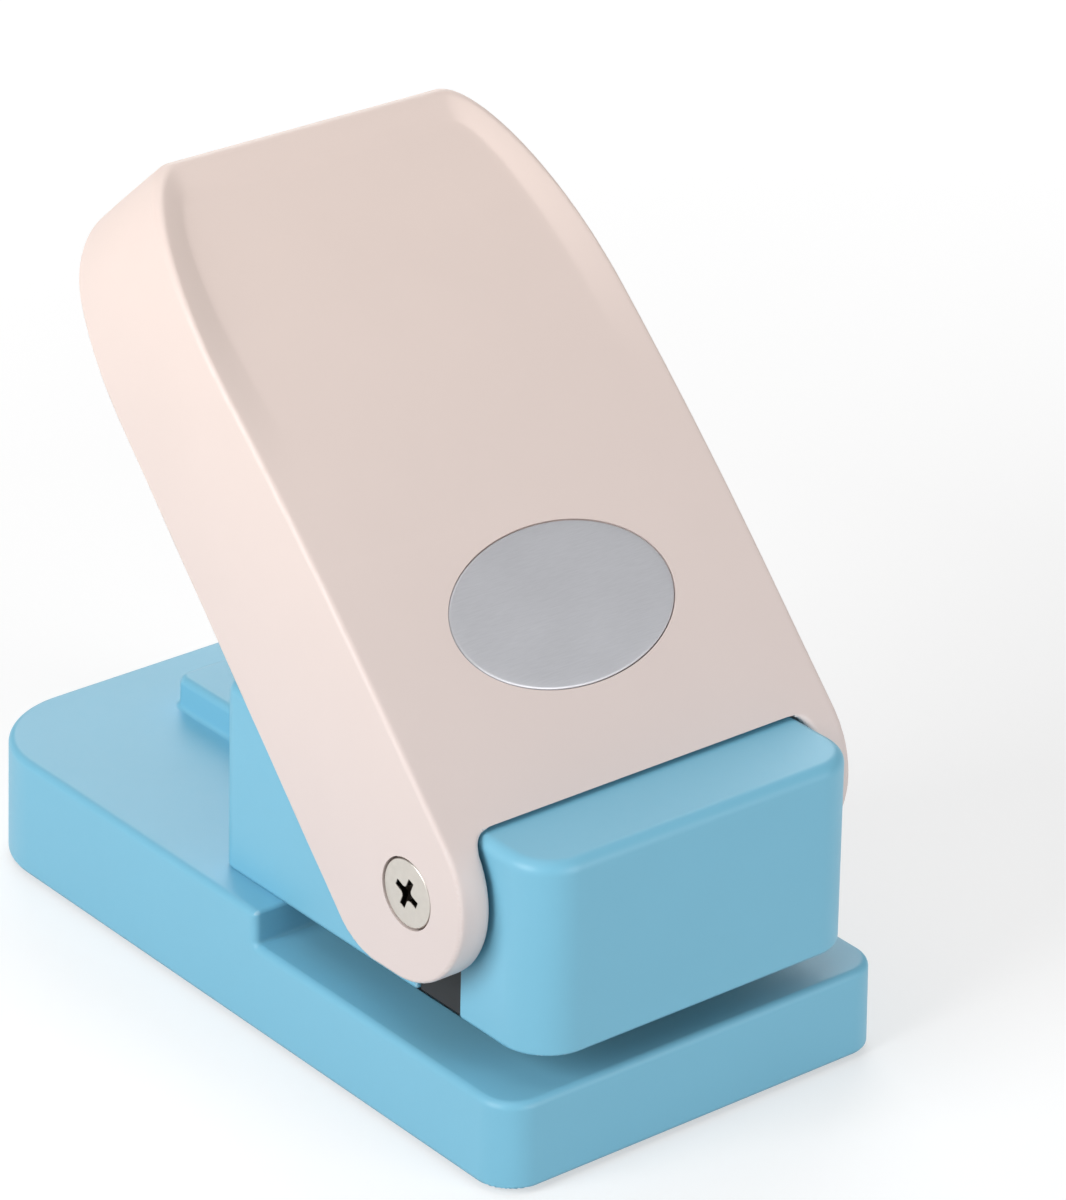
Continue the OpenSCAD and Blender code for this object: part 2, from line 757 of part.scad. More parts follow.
// Return spring: one wire wound from the guide plate to the roof of its tower
wire_r = wire_d / 2;
coil_r = spring_d / 2 - wire_r;
coil_l = pocket_top_z - guide_top_z - wire_d;
coil_steps = 8;
function coil_point(i) =
    let (a = 360 * i / coil_steps)
    [coil_r * cos(a), coil_r * sin(a), wire_r + coil_l * i / (coil_steps * spring_turns)];
function coil_ring(i) =
    let (
        a = 360 * i / coil_steps,
        out = [cos(a), sin(a), 0],
        climb = atan2(coil_l / spring_turns, 2 * PI * coil_r),
        up = [sin(a) * sin(climb), -cos(a) * sin(climb), cos(climb)]
    )
    [for (k = [0:5]) coil_point(i) + wire_r * (cos(-60 * k) * out + sin(-60 * k) * up)];
spring_gap = min([for (i = [0:coil_steps * (spring_turns - 1)])
    norm(coil_point(i + coil_steps) - coil_point(i))]) - wire_d;
echo(spring_gap = spring_gap);

module return_spring(y) {
    color(steel)
        translate([0, y, guide_top_z])
            skin([for (i = [0:coil_steps * spring_turns]) coil_ring(i)]);
}

module return_spring_front() { return_spring(tower_ys[0]); }
module return_spring_rear() { return_spring(tower_ys[1]); }

module bush() {
    color(brass)
        difference() {
            union() {
                pivot_rod(bush_d / 2, side_plate_x - bush_wall, bush_out_x);
                pivot_rod(bush_d / 2 + bush_flange, side_plate_x - bush_wall, side_plate_x);
            }
            pivot_rod(axle_d / 2 + run_gap, side_plate_x - bush_wall - over, bush_out_x + over);
        }
}

module bush_left() { mirror([1, 0, 0]) bush(); }
module bush_right() { bush(); }

module head_form() {
    translate([0, 0, platform_z])
        moulded_block(
            head_w, head_front_y, head_rear_y, head_h, head_front_r, head_rear_r, head_draft, head_edge_r
        );
}

module head_boss(y, z) {
    for (side = [-1, 1])
        translate([side * boss_x, y, z]) cylinder(r = boss_r, h = head_ceiling_z + over / 2 - z);
}

module head_housing() {
    color(blue)
        difference() {
            union() {
                difference() {
                    head_form();
                    translate([0, 0, platform_z - over])
                        linear_extrude(head_ceiling_z - platform_z + over)
                            plan(
                                head_w - 2 * head_wall,
                                head_front_y + head_wall, head_rear_y - head_wall,
                                head_front_r - head_wall, max(least_r, head_rear_r - head_wall)
                            );
                }
                head_boss(front_boss_y, guide_top_z);
                head_boss(rear_boss_y, platform_z);
            }
            both_sides() {
                wall_in_x = head_w / 2 - head_wall - over;
                pivot_rod(slot_w / 2, wall_in_x, head_w / 2 + over);
                translate([wall_in_x, pivot_y - slot_w / 2, platform_z - over])
                    cube([head_wall + 2 * over, slot_w, pivot_z - platform_z + over]);
            }
            for (side = [-1, 1], y = [front_boss_y, rear_boss_y])
                translate([side * boss_x, y, 0])
                    cylinder(d = screw_d + 2 * hole_gap, h = guide_top_z + boss_bite + tip_room);
        }
}

module housing_front_screws() {
    color(nickel)
        for (side = [-1, 1])
            translate([side * boss_x, front_boss_y, platform_z])
                flat_screw(screw_d, guide_t + boss_bite);
}

module housing_rear_screws() {
    color(nickel)
        for (side = [-1, 1])
            translate([side * boss_x, rear_boss_y, under_z])
                pan_screw(screw_d, screw_head_d, guide_top_z + boss_bite - under_z);
}

// Space under the roof and between the cheeks, with the front open from the lip down
module lever_hollow() {
    inner_roof = [for (i = [0:16])
        let (s = (lever_reach - lever_wall) * i / 16)
        [s, crown(s) - lever_wall - dish(0, s)]];
    front = -2 * ear_r;
    below = -4 * lever_low;
    end = lever_reach - lever_wall;
    lip_line = [for (s = [front, lever_reach / 3])
        [s, (lip_h - s * sin(lever_angle)) / cos(lever_angle)]];
    intersection() {
        side_view(-cheek_in_x, cheek_in_x) {
            polygon(concat(inner_roof, [[end, below], [0, below]]));
            polygon(concat(lip_line, [[lever_reach / 3, below], [front, below]]));
        }
        translate([0, 0, below])
            linear_extrude(-2 * below)
                polygon(concat(
                    [[cheek_in_x, 2 * front]],
                    [for (side = [1, -1], i = [0:12])
                        let (a = 90 * (side > 0 ? i : 12 - i) / 12)
                        [side * (cheek_in_x - corner_w * (1 - cos(a))), end - corner_l * (1 - sin(a))]],
                    [[-cheek_in_x, 2 * front]]
                ));
    }
}

module plaque_oval(margin) {
    polygon([for (a = [0:7.5:352.5])
        [(plaque_w / 2 + margin) * cos(a), (plaque_l / 2 + margin) * sin(a)]]);
}

module on_plaque() {
    tilt = -asin(max(0, plaque_s - crown_s) / crown_r);
    in_lever_frame() translate([0, plaque_s, crown(plaque_s)]) rotate([tilt, 0, 0]) children();
}

// End of the axle with two flats, made larger by gap for its seat in the cheek
module axle_end(x0, x1, gap) {
    intersection() {
        pivot_rod(axle_d / 2 + gap, x0, x1);
        in_lever_frame()
            translate([x0, -axle_d, -axle_flat / 2 - gap])
                cube([x1 - x0, 2 * axle_d, axle_flat + 2 * gap]);
    }
}

module lever_shell() {
    color(cream)
        difference() {
            in_lever_frame()
                difference() {
                    skin([for (x = lever_stations()) [for (p = lever_outline(x)) [x, p[0], p[1]]]]);
                    lever_hollow();
                }
            both_sides() {
                pivot_rod(pivot_head_d / 2 + seat_gap, web_x, half_w + over);
                pivot_rod(pivot_shank_d / 2 + hole_gap, cheek_in_x - over, half_w);
                axle_end(cheek_in_x - over, cheek_in_x + axle_flat_l, seat_gap / 2);
            }
            on_plaque()
                translate([0, 0, -plaque_t]) linear_extrude(plaque_t + over) plaque_oval(seat_gap);
        }
}

module plaque() {
    color(satin_silver)
        on_plaque() translate([0, 0, -plaque_t]) linear_extrude(plaque_t) plaque_oval(0);
}

module pivot_screw() {
    difference() {
        union() {
            translate([web_x, pivot_y, pivot_z])
                rotate([0, 90, 0])
                    rotate_extrude()
                        polygon([
                            [0, 0], [pivot_head_d / 2, 0],
                            [pivot_head_d / 2, pivot_head_t - pivot_bevel],
                            [pivot_head_d / 2 - pivot_bevel, pivot_head_t], [0, pivot_head_t]
                        ]);
            pivot_rod(pivot_shank_d / 2, web_x - pivot_shank_l, web_x + pivot_head_t / 4);
        }
        translate([web_x + pivot_head_t / 3, pivot_y, pivot_z])
            rotate([recess_turn, 0, 0]) rotate([0, 90, 0]) cross_recess(pivot_recess_w, pivot_head_t);
    }
}

module pivot_screws() { color(nickel) both_sides() pivot_screw(); }

module axle() {
    color(steel)
        difference() {
            union() {
                shoulder_x = cheek_in_x - side_gap / 4;
                pivot_rod(axle_d / 2, -shoulder_x, shoulder_x);
                both_sides() axle_end(shoulder_x - over, cheek_in_x + axle_flat_l - seat_gap, 0);
            }
            both_sides()
                pivot_rod(pivot_shank_d / 2 + hole_gap, web_x - pivot_shank_l - tip_room, half_w);
            for (x = [-cam_x, cam_x])
                translate([x, pivot_y, pivot_z - axle_d])
                    cylinder(d = cam_pin_d + 2 * hole_gap, h = 2 * axle_d);
        }
}

// Involute of the base circle: the flat crosshead moves by cam_r for each radian of the axle
function cam_point(a) =
    let (string = cam_lift + cam_r * a * PI / 180)
    [cam_r * cos(a) + string * sin(a), cam_r * sin(a) - string * cos(a)];

module cam_form() {
    spare_angle = 3;
    steps = 20;
    working = [for (i = [0:steps]) cam_point((press_angle + spare_angle) * i / steps)];
    nose_back = working[steps] + [-cam_wall / 4, cam_wall];
    circle(hub_r);
    polygon(concat([[0, -cam_lift]], working, [nose_back, [hub_r / 4, hub_r]]));
}

module cam() {
    color(zinc)
        difference() {
            translate([0, pivot_y, pivot_z]) side_view(cam_x - cam_t / 2, cam_x + cam_t / 2) cam_form();
            pivot_rod(axle_d / 2 + hole_gap, 0, 2 * cam_x);
            translate([cam_x, pivot_y, pivot_z - 2 * hub_r])
                cylinder(d = cam_pin_d + 2 * hole_gap, h = 4 * hub_r);
        }
}

module cam_left() { mirror([1, 0, 0]) cam(); }
module cam_right() { cam(); }

module cam_pins() {
    pin_l = 2 * (hub_r - tip_room);
    color(steel)
        for (x = [-cam_x, cam_x])
            translate([x, pivot_y, pivot_z - pin_l / 2]) cylinder(d = cam_pin_d, h = pin_l);
}

module punch_screw_places() {
    for (y = [punch_y, punch_y + tab_d / 3]) translate([0, y, crosshead_top_z]) children();
}

// Cast slide: a plate over the punch on a beam that ends in the two spring towers
module crosshead() {
    half_d = tab_d / 2 + crosshead_lip;
    half_plate_w = tab_w / 2 + crosshead_lip;
    trough_x = cam_x - cam_t / 2 - over;
    color(zinc)
        difference() {
            union() {
                translate([0, 0, crosshead_z])
                    linear_extrude(crosshead_t) {
                        plan(
                            2 * half_plate_w, punch_y - half_d, punch_y + half_d,
                            crosshead_r, crosshead_r
                        );
                        translate([-beam_w / 2, tower_ys[0]]) square([beam_w, 2 * tower_reach]);
                    }
                for (y = tower_ys)
                    translate([0, y, crosshead_z]) cylinder(r = tower_r, h = tower_top_z - crosshead_z);
            }
            for (y = tower_ys)
                translate([0, y, 0]) {
                    cylinder(r = pocket_r, h = pocket_top_z);
                    cylinder(r = pillar_d / 2 + run_gap, h = tower_top_z + over);
                }
            pivot_rod(axle_d / 2 + 2 * cam_gap, -half_plate_w, half_plate_w);
            both_sides() pivot_rod(hub_r + 2 * cam_gap, trough_x, half_plate_w + over);
            punch_screw_places() mirror([0, 0, 1]) flat_screw_hole(screw_d, crosshead_t + over);
        }
}

module punch_block() {
    shear_r = pow(tab_w / 2, 2) / (2 * shear_depth);
    color(steel)
        difference() {
            translate([0, 0, punch_z]) linear_extrude(crosshead_z - punch_z) tab(0);
            translate([0, punch_y - tab_d, punch_z + shear_depth - shear_r])
                rotate([-90, 0, 0]) cylinder(r = shear_r, h = 2 * tab_d, $fn = 128);
            punch_screw_places()
                mirror([0, 0, 1])
                    cylinder(d = screw_d + 2 * hole_gap, h = crosshead_t + punch_bite + tip_room);
        }
}

module punch_screws() {
    color(nickel)
        punch_screw_places() mirror([0, 0, 1]) flat_screw(screw_d, crosshead_t + punch_bite);
}

base_shell();
bottom_cover();
rubber_feet();
cover_screws();
die_plate();
spacer_bar();
punch_frame();
stack_bolts();
die_screws();
guide_pillar_front();
guide_pillar_rear();
return_spring_front();
return_spring_rear();
bush_left();
bush_right();
head_housing();
housing_front_screws();
housing_rear_screws();
lever_shell();
plaque();
pivot_screws();
axle();
cam_left();
cam_right();
cam_pins();
crosshead();
punch_block();
punch_screws();
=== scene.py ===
"""Looks of the index tab punch. The moulded shells, the plaque, the pivot screws and the springs are
smooth meshes that stand for their solids, and every other solid keeps its shape and gets a finish.
Lengths are in millimetres until a mesh is made."""

import json
import math

import bpy
import numpy as np
from mathutils import Matrix, Vector


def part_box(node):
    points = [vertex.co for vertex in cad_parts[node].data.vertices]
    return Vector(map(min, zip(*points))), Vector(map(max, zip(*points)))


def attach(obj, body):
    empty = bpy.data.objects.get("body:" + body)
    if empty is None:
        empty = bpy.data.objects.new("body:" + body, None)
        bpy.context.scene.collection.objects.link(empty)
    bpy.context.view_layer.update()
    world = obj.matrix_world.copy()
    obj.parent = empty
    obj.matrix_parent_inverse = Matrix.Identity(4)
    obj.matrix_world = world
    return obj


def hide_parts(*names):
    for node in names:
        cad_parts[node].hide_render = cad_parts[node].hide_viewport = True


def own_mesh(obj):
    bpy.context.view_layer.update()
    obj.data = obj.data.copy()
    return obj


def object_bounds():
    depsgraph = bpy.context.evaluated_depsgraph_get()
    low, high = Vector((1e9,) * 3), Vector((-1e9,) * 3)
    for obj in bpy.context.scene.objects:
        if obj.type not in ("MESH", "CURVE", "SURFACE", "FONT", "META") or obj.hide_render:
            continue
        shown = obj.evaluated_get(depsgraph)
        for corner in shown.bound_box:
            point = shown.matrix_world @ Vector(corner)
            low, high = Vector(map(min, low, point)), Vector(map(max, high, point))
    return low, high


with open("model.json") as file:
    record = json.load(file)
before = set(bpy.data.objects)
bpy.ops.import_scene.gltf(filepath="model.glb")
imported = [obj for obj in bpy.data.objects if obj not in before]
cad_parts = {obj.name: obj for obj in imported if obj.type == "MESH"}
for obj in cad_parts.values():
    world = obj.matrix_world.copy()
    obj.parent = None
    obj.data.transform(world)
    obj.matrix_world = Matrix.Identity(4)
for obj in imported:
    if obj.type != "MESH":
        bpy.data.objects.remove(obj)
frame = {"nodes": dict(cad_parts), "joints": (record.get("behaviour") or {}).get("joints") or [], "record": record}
cad_low, cad_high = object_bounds()
MM = 0.001


def box_mm(node):
    """Lowest and highest corner of a solid, in millimetres."""
    low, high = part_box(node)
    return np.array(low) / MM, np.array(high) / MM


# Sizes that the frame gives
base_low, base_high = box_mm("base_shell")
head_low, head_high = box_mm("head_housing")
cover_low, cover_high = box_mm("bottom_cover")
die_low, die_high = box_mm("die_plate")
spacer_low, spacer_high = box_mm("spacer_bar")
screw_low, screw_high = box_mm("pivot_screws")
lever_joint = next(j for j in frame["joints"] if j["name"] == "lever_press")
pivot_y, pivot_z = (c / MM for c in lever_joint["pos_m"][1:])
half_w = base_high[0]
lever_half_w = box_mm("lever_shell")[1][0]
front_y, rear_y = base_low[1], base_high[1]
rim_z, floor_z, platform_z = base_low[2], die_high[2], head_low[2]
stop_y = spacer_low[1]
head_half_w = head_high[0]
head_front_y, head_rear_y, head_top_z = head_low[1], head_high[1], head_high[2]

# Moulded base
BASE_FRONT_R = 5.0
BASE_REAR_R = 14.0
BASE_DRAFT = math.tan(math.radians(1.2))
BASE_EDGE_R = 1.0
BASE_WALL = 2.4
STEP_EDGE_R = 0.5
RIB_HALF_W = 5.0
RIB_SETBACK = 11.9
RIB_R = 2.0
RIB_FOOT_R = 0.6
RIB_GAP = 0.4
BASE_RIM_R = 0.3
SEAT_GAP = 0.1
DIE_FRONT_R, DIE_REAR_R, DIE_EDGE_R = 3.0, 2.0, 0.4
POCKET_EDGE_R = 0.15
TAB_FRONT_R, TAB_HEEL_R = 4.0, 1.0
CHUTE_MARGIN = 1.0

# Moulded head
HEAD_FRONT_R = 6.5
HEAD_REAR_R = 3.0
HEAD_DRAFT = math.tan(math.radians(0.5))
HEAD_EDGE_R = 1.6
HEAD_WALL = 2.3
HEAD_RIM_R = 0.4
SLOT_HALF_W = 4.05

# Moulded lever, along s from the pivot and n up from the pivot
LEVER_ANGLE = math.radians(46.4)
LEVER_REACH = 92.7
LEVER_LOW = 15.5
LEVER_RISE = 1.8
LEVER_WALL = 2.3
SIDE_GAP = 0.4
EAR_R = 12.5
EAR_S = 1.8
TOE_R = 3.0
ROOF_GAP = 0.15
LIP_GAP = 0.4
ROOF_N = head_top_z - pivot_z + ROOF_GAP + LEVER_WALL
LIP_H = head_top_z - pivot_z + LIP_GAP
MOUTH_REACH = LEVER_REACH / 3
CROWN_R = 470.0
CROWN_S = 20.0
HEEL_R = 11.0
HEEL_OUT = 3.2
CORNER_W, CORNER_L = 10.3, 31.8
LOW_CORNER_W, LOW_CORNER_L = 8.1, 24.4
DROP_POWER = 1.7
SIDE_EDGE_R = 0.65
END_EDGE_R = 1.6
LOW_EDGE_R = 0.45
EDGE_FADE_START, EDGE_FADE_RUN = 2.0, 6.0
LIP_CORNER_R = 2.5
LIP_EDGE_R = 0.2
CHEEK_EDGE_R = 0.9
INNER_R = 1.2
DISH_DEPTH = 1.2
DISH_START = 46.0
DISH_RUN = 33.0
RIM_W = 0.6
DISH_SLOPE = 4.2
EASE = 0.01  # softness of eased ramps

# Plaque and pivot screws
PLAQUE_HALF_W = 16.5
PLAQUE_HALF_L = 10.3
PLAQUE_T = 0.7
PLAQUE_S = 24.6
PLAQUE_ROOM = 0.12
PLAQUE_EDGE = [(1.0, -PLAQUE_T), (1.0, -0.25), (0.995, -0.12), (0.985, -0.07)]
PLAQUE_SINK = 0.05
PLAQUE_RINGS = (0.965, 0.85, 0.7, 0.55, 0.4, 0.25, 0.1)
SCREW_R = (screw_high[2] - screw_low[2]) / 2
SCREW_T = 1.2
SCREW_SINK = 0.1
SCREW_ROOM = 0.25
SCREW_SHIFT = (-0.02, 0.15)
SCREW_TURN = math.radians(67)
SCREW_CROWN = 0.08
SCREW_EDGE_R, SCREW_BACK_R = 0.18, 0.1
CROSS_R = 2.05
CROSS_ARM, CROSS_TAPER = 0.42, 0.1
CROSS_CORE_R, CROSS_CORNER_R = 0.8, 0.3
CROSS_FLOOR = 0.35
CROSS_EDGE_R = 0.12
CUT_ABOVE = 3.0

# Return springs
WIRE_R = 0.35
SPRING_TURNS = 8
END_PITCH = 2.2
TURN_POINTS, WIRE_SIDES = 32, 12

# Fineness of the meshes
SHELL_STEP = 0.35
SCREW_STEP = 0.1
SHELL_FACES = 36000
SCREW_FACES = 6000
SHARP = 1.2  # bend per millimetre from which an edge is made pale, partly as wear and partly as a painted highlight
NARROW = 4  # largest face with the pale edge mark, in cells
CUT_TURN = 0.6  # least cosine between a face of the field and its slope
SETTLE_ROUNDS = 4
SLOPE_SHARE = 20  # reach of a slope, as a share of a cell
LEAST_SLOPE = 0.05
OVAL_POINTS = 160


# Fields: negative inside a form, zero on its surface

def round_max(a, b, r):
    """Where both forms are, with the edge between them rounded by r."""
    return np.minimum(np.maximum(a, b), -r) + np.hypot(np.maximum(a + r, 0), np.maximum(b + r, 0))


def round_min(a, b, r):
    """Where either form is, with the corner between them filled by r."""
    return -round_max(-a, -b, r)


def smooth_step(t):
    t = np.clip(t, 0, 1)
    return t * t * (3 - 2 * t)


def soft_ramp(t):
    """Straight rise from 0 to 1 with both ends eased."""
    return 1 - soft_positive(1 - soft_positive(t))


def soft_positive(t):
    """The larger of t and 0, with the bend between them eased."""
    return (t + np.sqrt(t**2 + EASE)) / 2


def plan_field(x, y, half, y0, y1, front_r, rear_r):
    """Rounded rectangle with its own radii in front and behind."""
    middle, depth = (y0 + y1) / 2, (y1 - y0) / 2
    r = np.where(y < middle, front_r, rear_r)
    dx = np.abs(x) - half + r
    dy = np.abs(y - middle) - depth + r
    return np.minimum(np.maximum(dx, dy), 0) + np.hypot(np.maximum(dx, 0), np.maximum(dy, 0)) - r


def tab_field(x, y, margin):
    """Outline of the tab that is cut, larger by margin."""
    low, high = box_mm("punch_block")
    return plan_field(
        x, y, high[0] + margin, low[1] - margin, high[1] + margin,
        TAB_FRONT_R + margin, TAB_HEEL_R + margin,
    )


def base_field(x, y, z):
    """Base with its platform and rib, less the recess of the cover, the chute and the die's pocket."""
    wall = plan_field(x, y, half_w, front_y, rear_y, BASE_FRONT_R, BASE_REAR_R) + (z - rim_z) * BASE_DRAFT
    platform = round_max(z - platform_z, stop_y - y, STEP_EDGE_R)
    form = round_max(wall, round_min(z - floor_z, platform, STEP_EDGE_R), BASE_EDGE_R)
    rib_wall = plan_field(x, y, RIB_HALF_W, head_rear_y + RIB_GAP, rear_y - RIB_SETBACK, RIB_R, RIB_R)
    rib = round_max(rib_wall + (z - platform_z) * BASE_DRAFT, z - base_high[2], BASE_EDGE_R)
    form = round_min(form, rib, RIB_FOOT_R)
    form = round_max(form, rim_z - z, BASE_RIM_R)
    recess = plan_field(
        x, y, cover_high[0] + SEAT_GAP, cover_low[1] - SEAT_GAP, cover_high[1] + SEAT_GAP,
        BASE_FRONT_R - BASE_WALL, BASE_REAR_R - BASE_WALL,
    )
    form = np.maximum(form, -np.maximum(recess, z - cover_high[2]))
    form = np.maximum(form, -tab_field(x, y, CHUTE_MARGIN))
    pocket = plan_field(
        x, y, die_high[0] + SEAT_GAP, die_low[1] - SEAT_GAP, stop_y + SEAT_GAP,
        DIE_FRONT_R + SEAT_GAP, DIE_EDGE_R + SEAT_GAP,
    )
    tongue = plan_field(
        x, y, spacer_high[0] + SEAT_GAP, die_low[1], spacer_high[1] + SEAT_GAP,
        DIE_EDGE_R + SEAT_GAP, DIE_REAR_R + SEAT_GAP,
    )
    return round_max(form, -np.maximum(np.minimum(pocket, tongue), die_low[2] - z), POCKET_EDGE_R)


def head_field(x, y, z):
    """Hollow head with a slot in each side."""
    height = z - platform_z
    wall = plan_field(x, y, head_half_w, head_front_y, head_rear_y, HEAD_FRONT_R, HEAD_REAR_R)
    form = round_max(wall + height * HEAD_DRAFT, z - head_top_z, HEAD_EDGE_R)
    room = np.maximum(wall + HEAD_WALL, z - head_top_z + HEAD_WALL)
    form = np.maximum(form, -room)
    slot = np.hypot(y - pivot_y, np.maximum(z - pivot_z, 0)) - SLOT_HALF_W
    slot = np.maximum(slot, head_half_w - 2 * HEAD_WALL - np.abs(x))
    form = round_max(form, -slot, HEAD_RIM_R)
    return round_max(form, -height, HEAD_RIM_R)


def crown(s):
    """Top of the lever's roof before it is dished."""
    return ROOF_N - np.maximum(s - CROWN_S, 0) ** 2 / (2 * CROWN_R)


def low_n(s):
    """Lower edge of the lever's cheeks."""
    return LEVER_RISE * s / LEVER_REACH - LEVER_LOW


def oval_end(x, s, half, reach, wide, long):
    """Plan of the lever: straight sides and two oval corners at the free end."""
    u = np.maximum(np.abs(x) - half + wide, 0) / wide
    v = np.maximum(s - reach + long, 0) / long
    far = np.hypot(u, v)
    steep = np.hypot(u / wide, v / long)
    inner = np.maximum(np.abs(x) - half, s - reach)
    return np.where(far > 0, (far - 1) * far / np.maximum(steep, 1e-9), inner)


def dish(x, s):
    """Depth of the dished rest below the crown of the roof."""
    inside = -oval_end(x, s, lever_half_w, LEVER_REACH, CORNER_W, CORNER_L)
    along = smooth_step((s - DISH_START) / DISH_RUN)
    return DISH_DEPTH * along * soft_ramp((inside - RIM_W) / DISH_SLOPE)


def lever_field(x, s, n):
    """Outer form of the lever less the channel under its roof."""
    tip_n, tip_low = crown(LEVER_REACH), low_n(LEVER_REACH)
    drop = np.minimum(1, soft_positive((tip_n - n) / (tip_n - tip_low)))
    drop = 1 - (1 - drop) ** DROP_POWER
    wide = CORNER_W + (LOW_CORNER_W - CORNER_W) * drop
    long = CORNER_L + (LOW_CORNER_L - CORNER_L) * drop
    wall = oval_end(x, s, lever_half_w, LEVER_REACH, wide, long)
    roof = n - crown(s) + dish(x, s)
    under = low_n(s) - n
    ear_s, ear_n = s - EAR_S, n - ROOF_N + EAR_R
    behind = ear_s * math.cos(LEVER_ANGLE) - ear_n * math.sin(LEVER_ANGLE)
    ear = np.where(np.where(ear_n > 0, ear_s, behind) < 0, np.hypot(ear_s, ear_n) - EAR_R, -EAR_R)
    foot = -EAR_R - ear_s * math.sin(LEVER_ANGLE) - ear_n * math.cos(LEVER_ANGLE)
    sole = round_max(under, foot, TOE_R)
    heel = round_max(s - LEVER_REACH - HEEL_OUT, under, HEEL_R)
    profile = np.maximum(np.maximum(roof, ear), np.maximum(sole, heel))
    u = np.maximum(np.abs(x) - lever_half_w + CORNER_W, 0) / CORNER_W
    v = np.maximum(s - LEVER_REACH + CORNER_L, 0) / CORNER_L
    edge_r = SIDE_EDGE_R + (END_EDGE_R - SIDE_EDGE_R) * v**2 / np.maximum(u**2 + v**2, 1e-9)
    edge_r = LOW_EDGE_R + (edge_r - LOW_EDGE_R) * smooth_step((-sole - EDGE_FADE_START) / EDGE_FADE_RUN)
    form = round_max(wall, profile, edge_r)
    cheek_in = head_half_w + SIDE_GAP
    between = oval_end(x, s, cheek_in, LEVER_REACH - LEVER_WALL, CORNER_W, CORNER_L)
    ceiling = np.maximum(n - crown(s) + LEVER_WALL + dish(0, s), -s)
    channel = round_max(ceiling, between, INNER_R)
    level = s * math.sin(LEVER_ANGLE) + n * math.cos(LEVER_ANGLE)
    mouth = round_max(level - LIP_H, np.abs(x) - cheek_in, LIP_CORNER_R)
    mouth = np.maximum(mouth, s - MOUTH_REACH)
    by_cheek = smooth_step((np.abs(x) - cheek_in) / LIP_CORNER_R + 1)
    inner_edge_r = LIP_EDGE_R + (CHEEK_EDGE_R - LIP_EDGE_R) * by_cheek
    return round_max(form, -np.minimum(channel, mouth), inner_edge_r)


def cross_field(u, v, w):
    """Cross recess of a pivot screw: two bars that narrow with depth round a small core."""
    arm = CROSS_ARM - CROSS_TAPER * (SCREW_T - w)
    bars = np.minimum(
        np.maximum(np.abs(u) - CROSS_R, np.abs(v) - arm), np.maximum(np.abs(v) - CROSS_R, np.abs(u) - arm)
    )
    return np.maximum(round_min(bars, np.hypot(u, v) - CROSS_CORE_R, CROSS_CORNER_R), CROSS_FLOOR - w)


def screw_field(u, v, w):
    """Head of a pivot screw, with w outwards along its axis."""
    radius = np.hypot(u, v)
    crest = w - SCREW_T + SCREW_CROWN * (radius / SCREW_R) ** 2
    form = round_max(round_max(radius - SCREW_R, crest, SCREW_EDGE_R), -w, SCREW_BACK_R)
    return round_max(form, -cross_field(u, v, w), CROSS_EDGE_R)


def screw_cross_shade(u, v, w):
    """Below zero on the walls and the floor of the cross recess, where painted shade darkens the screw."""
    return cross_field(u, v, w) - CROSS_EDGE_R


def slope_of(field, points, reach):
    """Slope of a field and its value at points."""
    value = field(*points.T)
    slope = np.empty_like(points)
    for axis in range(3):
        step = np.zeros(3)
        step[axis] = reach
        slope[:, axis] = field(*(points + step).T) - field(*(points - step).T)
    slope /= 2 * reach
    return slope, value


def settle(field, points, step):
    """Moves points on to the surface of a field."""
    for _ in range(SETTLE_ROUNDS):
        slope, value = slope_of(field, points, step / SLOPE_SHARE)
        length = np.maximum((slope**2).sum(1), LEAST_SLOPE)
        move = slope * (value / length)[:, None]
        far = np.linalg.norm(move, axis=1)
        move *= np.minimum(1, step / np.maximum(far, 1e-9))[:, None]
        points = points - move
    return points


def surface_net(field, low, high, step):
    """Points and four-sided faces on the surface of a field, one point for each cell that it crosses."""
    axes = [np.arange(low[i] - 2 * step, high[i] + 3 * step, step) for i in range(3)]
    value = field(*np.meshgrid(*axes, indexing="ij"))
    inside = value < 0
    shifts = [(i, j, k) for i in (0, 1) for j in (0, 1) for k in (0, 1)]
    cells = tuple(n - 1 for n in value.shape)

    def shifted(grid, shift):
        return grid[tuple(slice(d, d + n) for d, n in zip(shift, cells))]

    count = sum(shifted(inside, s).astype(np.int8) for s in shifts)
    active = np.argwhere((count > 0) & (count < 8))
    number = np.full(cells, -1, np.int64)
    number[tuple(active.T)] = np.arange(len(active))
    corner = [value[tuple((active + s).T)] for s in shifts]
    total = np.zeros((len(active), 3))
    crossings = np.zeros(len(active))
    for a, start in enumerate(shifts):
        for b, end in enumerate(shifts):
            if b > a and sum(abs(p - q) for p, q in zip(start, end)) == 1:
                crossed = (corner[a] < 0) != (corner[b] < 0)
                share = np.where(crossed, corner[a] / np.where(crossed, corner[a] - corner[b], 1), 0)
                place = np.array(start) + share[:, None] * (np.array(end) - np.array(start))
                total += place * crossed[:, None]
                crossings += crossed
    origin = np.array([axis[0] for axis in axes])
    points = origin + step * (active + total / crossings[:, None])
    faces = []
    for axis in range(3):
        u, v = np.eye(3, dtype=int)[(axis + 1) % 3], np.eye(3, dtype=int)[(axis + 2) % 3]
        along = np.diff(inside.astype(np.int8), axis=axis)
        edges = np.argwhere(along != 0)
        edges = edges[(edges[:, (axis + 1) % 3] > 0) & (edges[:, (axis + 2) % 3] > 0)]
        ring = [number[tuple((edges - d).T)] for d in (0 * u, u, u + v, v)]
        leaving = along[tuple(edges.T)] < 0
        quad = np.stack(ring, 1)
        quad[~leaving] = quad[~leaving][:, ::-1]
        faces.append(quad)
    return points, np.concatenate(faces)


